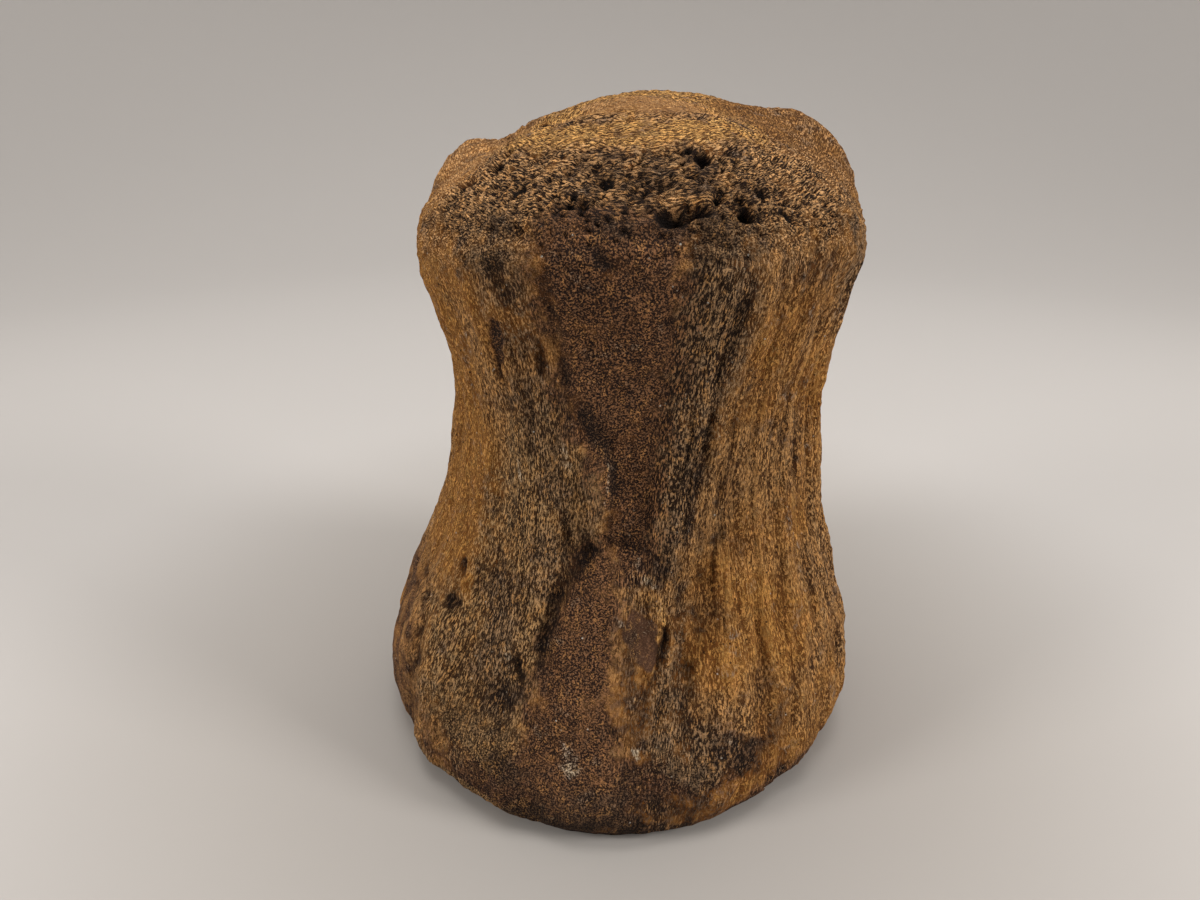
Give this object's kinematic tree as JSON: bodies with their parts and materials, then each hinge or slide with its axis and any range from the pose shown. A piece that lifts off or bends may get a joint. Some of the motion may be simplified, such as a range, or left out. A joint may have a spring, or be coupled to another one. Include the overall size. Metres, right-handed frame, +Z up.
{
  "type": "fossil hadrosaur vertebra",
  "caption": "Spool-shaped fossil vertebra body with a domed porous head, striated flanks, an hourglass canal floor and a flared foot; stands on end for display.",
  "frame": {"origin": "on the surface the bone stands on, under the middle of its bounding box", "axes": "+Z up, along the bone's own length, from the foot to the domed head; -Y towards the viewer, the side of the canal floor; +X to the viewer's right"},
  "size_m": [0.087, 0.092, 0.1077],
  "materials": {
    "fossil_bone": "dry mineralised bone: ochre and tan fibrous flanks, dark grey-brown stained scars, a red-brown canal floor and a porous rim, matte all over"
  },
  "bodies": {
    "root": {"centrum": "fossil_bone"}
  },
  "joints": []
}
